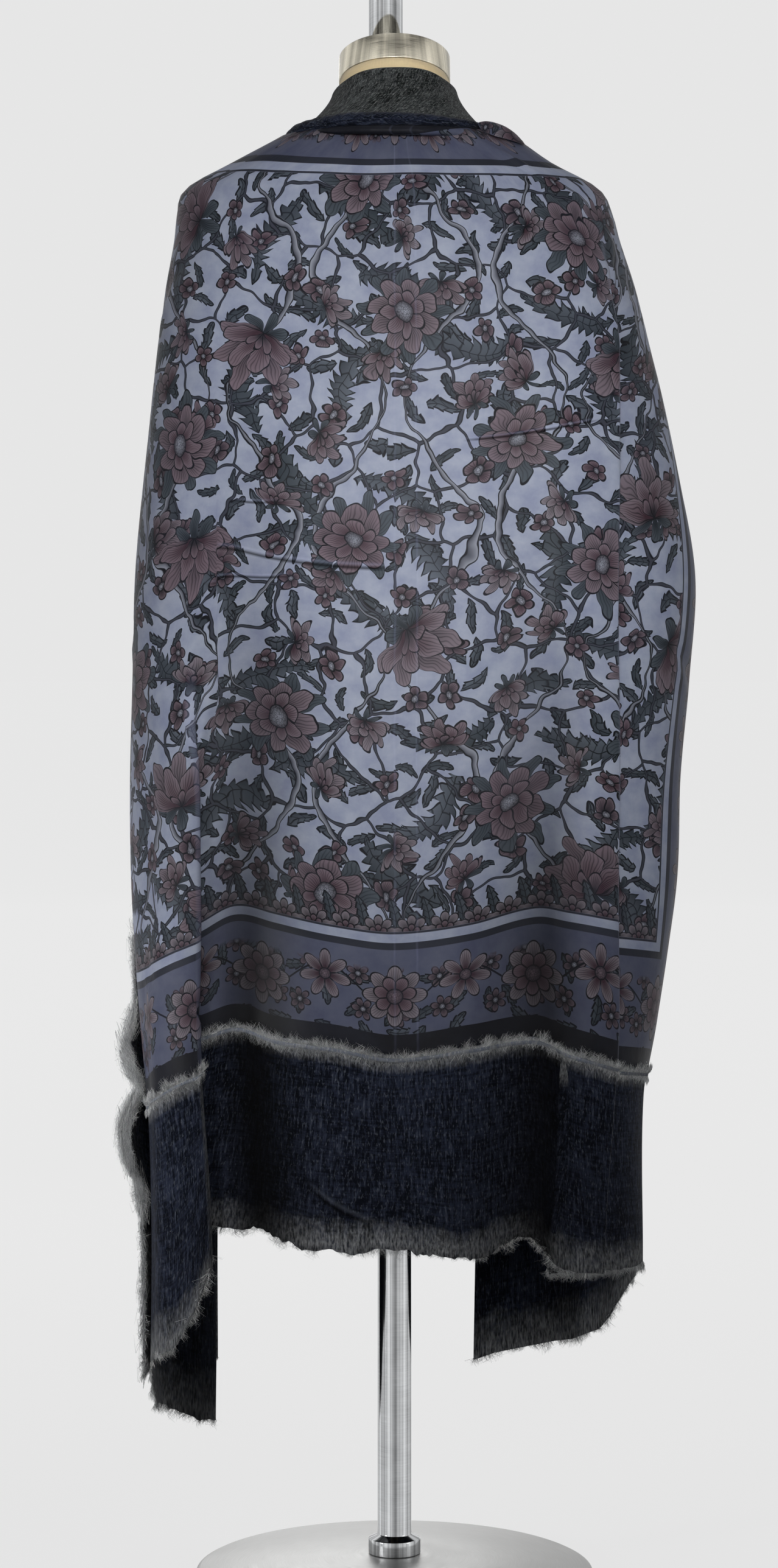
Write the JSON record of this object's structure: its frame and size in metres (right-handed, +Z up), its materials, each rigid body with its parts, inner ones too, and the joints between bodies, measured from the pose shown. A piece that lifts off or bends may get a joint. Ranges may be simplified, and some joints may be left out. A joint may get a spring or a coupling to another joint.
{
  "type": "foulard shawl on a dress form",
  "caption": "Large square foulard shawl, printed silk laid on raw-edged wool, draped as a cape with a stand collar over a limbless dress form on a column.",
  "frame": {"origin": "centre of the flat underside of the stand's round base plate", "axes": "+Z up along the column, -Y out of the wearer's back, +X to the right as the back is looked at"},
  "size_m": [0.5862, 0.41, 1.7],
  "materials": {
    "printed_silk": "printed silk satin, slate lavender ground, soft sheen",
    "hem_silk": "plain charcoal silk hem, soft sheen",
    "wool": "matt navy and charcoal melange wool with raw fuzzy edges",
    "collar_wool": "matt charcoal melange wool",
    "linen": "matt cream linen, tightly covered",
    "brushed_steel": "brushed",
    "chrome": "polished"
  },
  "bodies": {
    "root": {"wool_left": "wool", "wool_back": "wool", "wool_right": "wool", "wool_turn_back": "wool", "wool_fray_left": "wool", "wool_fray_back": "wool", "wool_fray_right": "wool", "wool_neck_roll": "wool", "wool_collar": "collar_wool", "silk_left": "printed_silk", "silk_back": "printed_silk", "silk_right": "printed_silk", "silk_hem_roll": "hem_silk", "silk_shoulder_fold": "hem_silk", "form_body": "linen", "neck_cap": "brushed_steel", "base_plate": "brushed_steel", "column": "chrome", "column_head": "chrome"}
  },
  "joints": []
}
